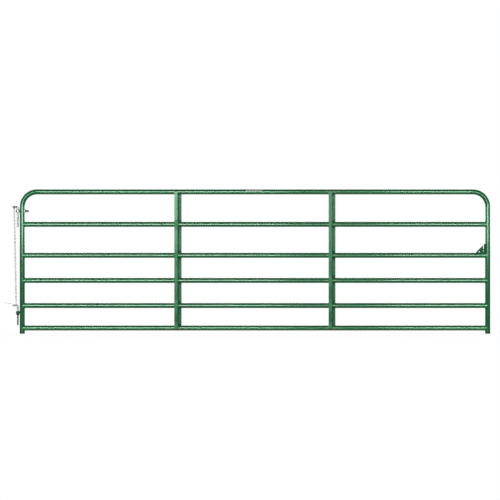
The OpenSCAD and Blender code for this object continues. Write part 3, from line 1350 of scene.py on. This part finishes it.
@dataclass
class Studio:
    """Pale floor, softboxes, a white surround and the photograph's camera."""

    floor_z: float
    aim_x: float = 2.089
    aim_z: float = 0.4865
    distance: float = 18.0
    view_width: float = 4.40
    sensor: float = 36.0
    lights_y: float = 12.0
    lights_up: float = 0.8
    ambient: float = 0.12
    backdrop: float = 0.6
    backdrop_from: float = 0.75
    backdrop_to: float = 0.95
    ceiling: float = 0.05
    floor_half: float = 7.0
    floor_light: float = 0.4
    floor_mirror: float = 0.22
    shadow: float = 0.3
    shadow_from: float = 0.7
    shadow_to: float = 1.6
    shadow_squeeze: float = 0.45
    paper: str = "#eeeeee"

    def softbox(
        self,
        name: str,
        start: float,
        end: float,
        height: float,
        bright: float,
        behind: bool = False,
        mirrored: bool = True,
    ) -> None:
        """Hangs one upright softbox that faces the gate's plane.

        Args:
            name: Name of the lamp.
            start: Its left edge, from the middle of the view.
            end: Its right edge, from there too.
            height: Height of the box.
            bright: Radiance of its face.
            behind: Whether it hangs behind the gate.
            mirrored: Whether gloss shows it.
        """
        lamp = bpy.data.lights.new(name, "AREA")
        lamp.shape = "RECTANGLE"
        lamp.size, lamp.size_y = end - start, height
        lamp.energy = bright * math.pi * lamp.size * lamp.size_y
        holder = place_object(name, lamp)
        y = self.lights_y if behind else -self.lights_y
        z = self.floor_z + self.lights_up + height / 2
        holder.location = (self.aim_x + (start + end) / 2, y, z)
        holder.rotation_euler = (math.pi / 2, 0, math.pi if behind else 0)
        holder.visible_camera = False
        holder.visible_glossy = mirrored

    def lights(self) -> None:
        """Hangs bright boxes in front with a dim gap, strips for the stiles and boxes behind."""
        self.softbox("left_box", -4.6, 0.5, height=2.1, bright=21.0)
        self.softbox("right_box", 2.0, 4.6, height=2.1, bright=21.0)
        self.softbox("gap_box", 0.5, 2.0, height=2.1, bright=5.5)
        self.softbox("left_strip", -16.0, -7.0, height=2.2, bright=6.0)
        self.softbox("right_strip", 6.6, 15.0, height=2.2, bright=6.0)
        self.softbox("back_box", -6.0, 6.0, height=2.2, bright=4.5, behind=True)
        self.softbox("back_left_strip", -16.0, -9.0, height=3.5, bright=3.0, behind=True)
        self.softbox("back_right_strip", 9.0, 16.0, height=3.5, bright=3.0, behind=True)
        self.softbox(
            "back_fill", -6.0, 6.0, height=5.0, bright=6.0, behind=True, mirrored=False
        )

    def world(self) -> None:
        """Makes a surround that is white to the camera, pale behind the gate and dim overhead."""
        world = bpy.data.worlds.new("studio")
        bpy.context.scene.world = world
        world.use_nodes = True
        graph = NodeGraph(world.node_tree, "Generated")
        path = graph.add("LightPath", {}).node.outputs
        either = {0: path["Is Glossy Ray"], 1: path["Is Transmission Ray"]}
        mirrored = graph.add("Math", either, operation="MAXIMUM")
        behind = graph.add("SeparateXYZ", {0: graph.coords}, Axis.Y.value)
        edges, levels = (self.backdrop_from, self.backdrop_to), (self.ceiling, self.backdrop)
        span = dict(enumerate((behind, *edges, *levels)))
        level = graph.add("MapRange", span, interpolation_type="SMOOTHSTEP")
        ambient = graph.add("Background", {0: WHITE, 1: self.ambient})
        mirror = graph.add("Background", {0: WHITE, 1: level})
        white = graph.add("Background", {0: WHITE, 1: 1.0})
        indirect = graph.add("MixShader", {0: mirrored, 1: ambient, 2: mirror})
        rays = graph.add("MixShader", {0: path["Is Camera Ray"], 1: indirect, 2: white})
        graph.add("OutputWorld", {"Surface": rays})

    def white_paper(self) -> bpy.types.Material:
        """Makes the floor's paper, which keeps a soft shadow and fades to white.

        Returns:
            The material.
        """
        material = bpy.data.materials.new("white_paper")
        material.use_nodes = True
        graph = NodeGraph(material.node_tree)
        path = graph.add("LightPath", {}).node.outputs
        shift = {0: graph.coords, 1: (-self.aim_x, 0, -self.floor_z)}
        centred = graph.add("VectorMath", shift, operation="ADD")
        squeeze = {0: centred, 1: (self.shadow_squeeze, 1.0, 1.0)}
        narrowed = graph.add("VectorMath", squeeze, operation="MULTIPLY")
        away = graph.add("VectorMath", {0: narrowed}, "Value", operation="LENGTH")
        span = {0: away, 1: self.shadow_from, 2: self.shadow_to, 3: self.shadow, 4: 0.0}
        shade = graph.add("MapRange", span, interpolation_type="SMOOTHSTEP")
        lit = graph.add("Math", {0: shade, 1: -self.floor_light, 2: 1.0}, operation="MULTIPLY_ADD")
        rest = graph.add("Math", {0: 1.0, 1: shade}, operation="SUBTRACT")
        level = graph.add("Math", {0: lit, 1: rest}, operation="DIVIDE")
        paper = graph.add("BsdfDiffuse", {0: linear(self.paper)})
        glow = graph.add("Emission", {0: WHITE, 1: level})
        seen = graph.add("MixShader", {0: shade, 1: glow, 2: paper})
        sheen = graph.add("Emission", {0: WHITE, 1: self.floor_mirror})
        indirect = graph.add("MixShader", {0: path["Is Glossy Ray"], 1: paper, 2: sheen})
        either = {0: path["Is Camera Ray"], 1: path["Is Transmission Ray"]}
        direct = graph.add("Math", either, operation="MAXIMUM")
        rays = graph.add("MixShader", {0: direct, 1: indirect, 2: seen})
        graph.add("OutputMaterial", {"Surface": rays})
        return material

    def floor(self) -> None:
        """Lays the paper floor under the gate's feet."""
        bm = bmesh.new()
        bmesh.ops.create_grid(
            bm,
            x_segments=8,
            y_segments=8,
            size=self.floor_half,
            matrix=Matrix.Translation((self.aim_x, 0, self.floor_z)),
        )
        mesh = bpy.data.meshes.new("studio_floor")
        bm.to_mesh(mesh)
        bm.free()
        mesh.materials.append(self.white_paper())
        place_object("studio_floor", mesh)

    def camera(self) -> None:
        """Sets the level camera of the photograph, whose frame is square."""
        data = bpy.data.cameras.new("photo_camera")
        data.sensor_width = self.sensor
        data.lens = self.sensor * self.distance / self.view_width
        holder = place_object("photo_camera", data)
        holder.location = (self.aim_x, -self.distance, self.aim_z)
        holder.rotation_euler = (math.pi / 2, 0, 0)
        bpy.context.scene.camera = holder

    def build(self) -> None:
        """Sets up the whole studio."""
        bpy.context.scene.view_settings.view_transform = "Standard"
        self.world()
        self.lights()
        self.floor()
        self.camera()
        LOG.info("studio ready, camera %.2f m from the gate", self.distance)


def main() -> None:
    """Builds the gate's looks piece by piece, then the studio."""
    logging.basicConfig(level=logging.INFO, format="%(name)s: %(message)s")
    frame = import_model()
    low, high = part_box("top_rail")
    tube_d = high.z - low.z
    floor_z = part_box("latch_stile")[0].z
    palette = Palette(
        weld_xs=(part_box("hinge_stile")[0].x + tube_d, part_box("latch_stile")[1].x - tube_d),
        brace_xs=Braces.web_xs(),
        brace_back=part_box("left_brace")[1].y,
        rail_zs=tuple(middle(rail.value).z for rail in Rail),
        foot_z=floor_z,
    )
    palette.build()
    shop = Shop(palette, frame["nodes"])
    leaf = LeafFrame(shop)
    leaf.build()
    Braces(shop, leaf).build()
    LatchGusset(shop).build()
    UpperHinge(shop).build()
    LowerHinge(shop).build()
    HingeHook(shop, "upper_hook").build()
    HingeHook(shop, "lower_hook", thread=112 * MM).build()
    LatchChain(shop).build()
    CableTie(shop).build()
    Studio(floor_z).build()


if __name__ == "__main__":
    main()
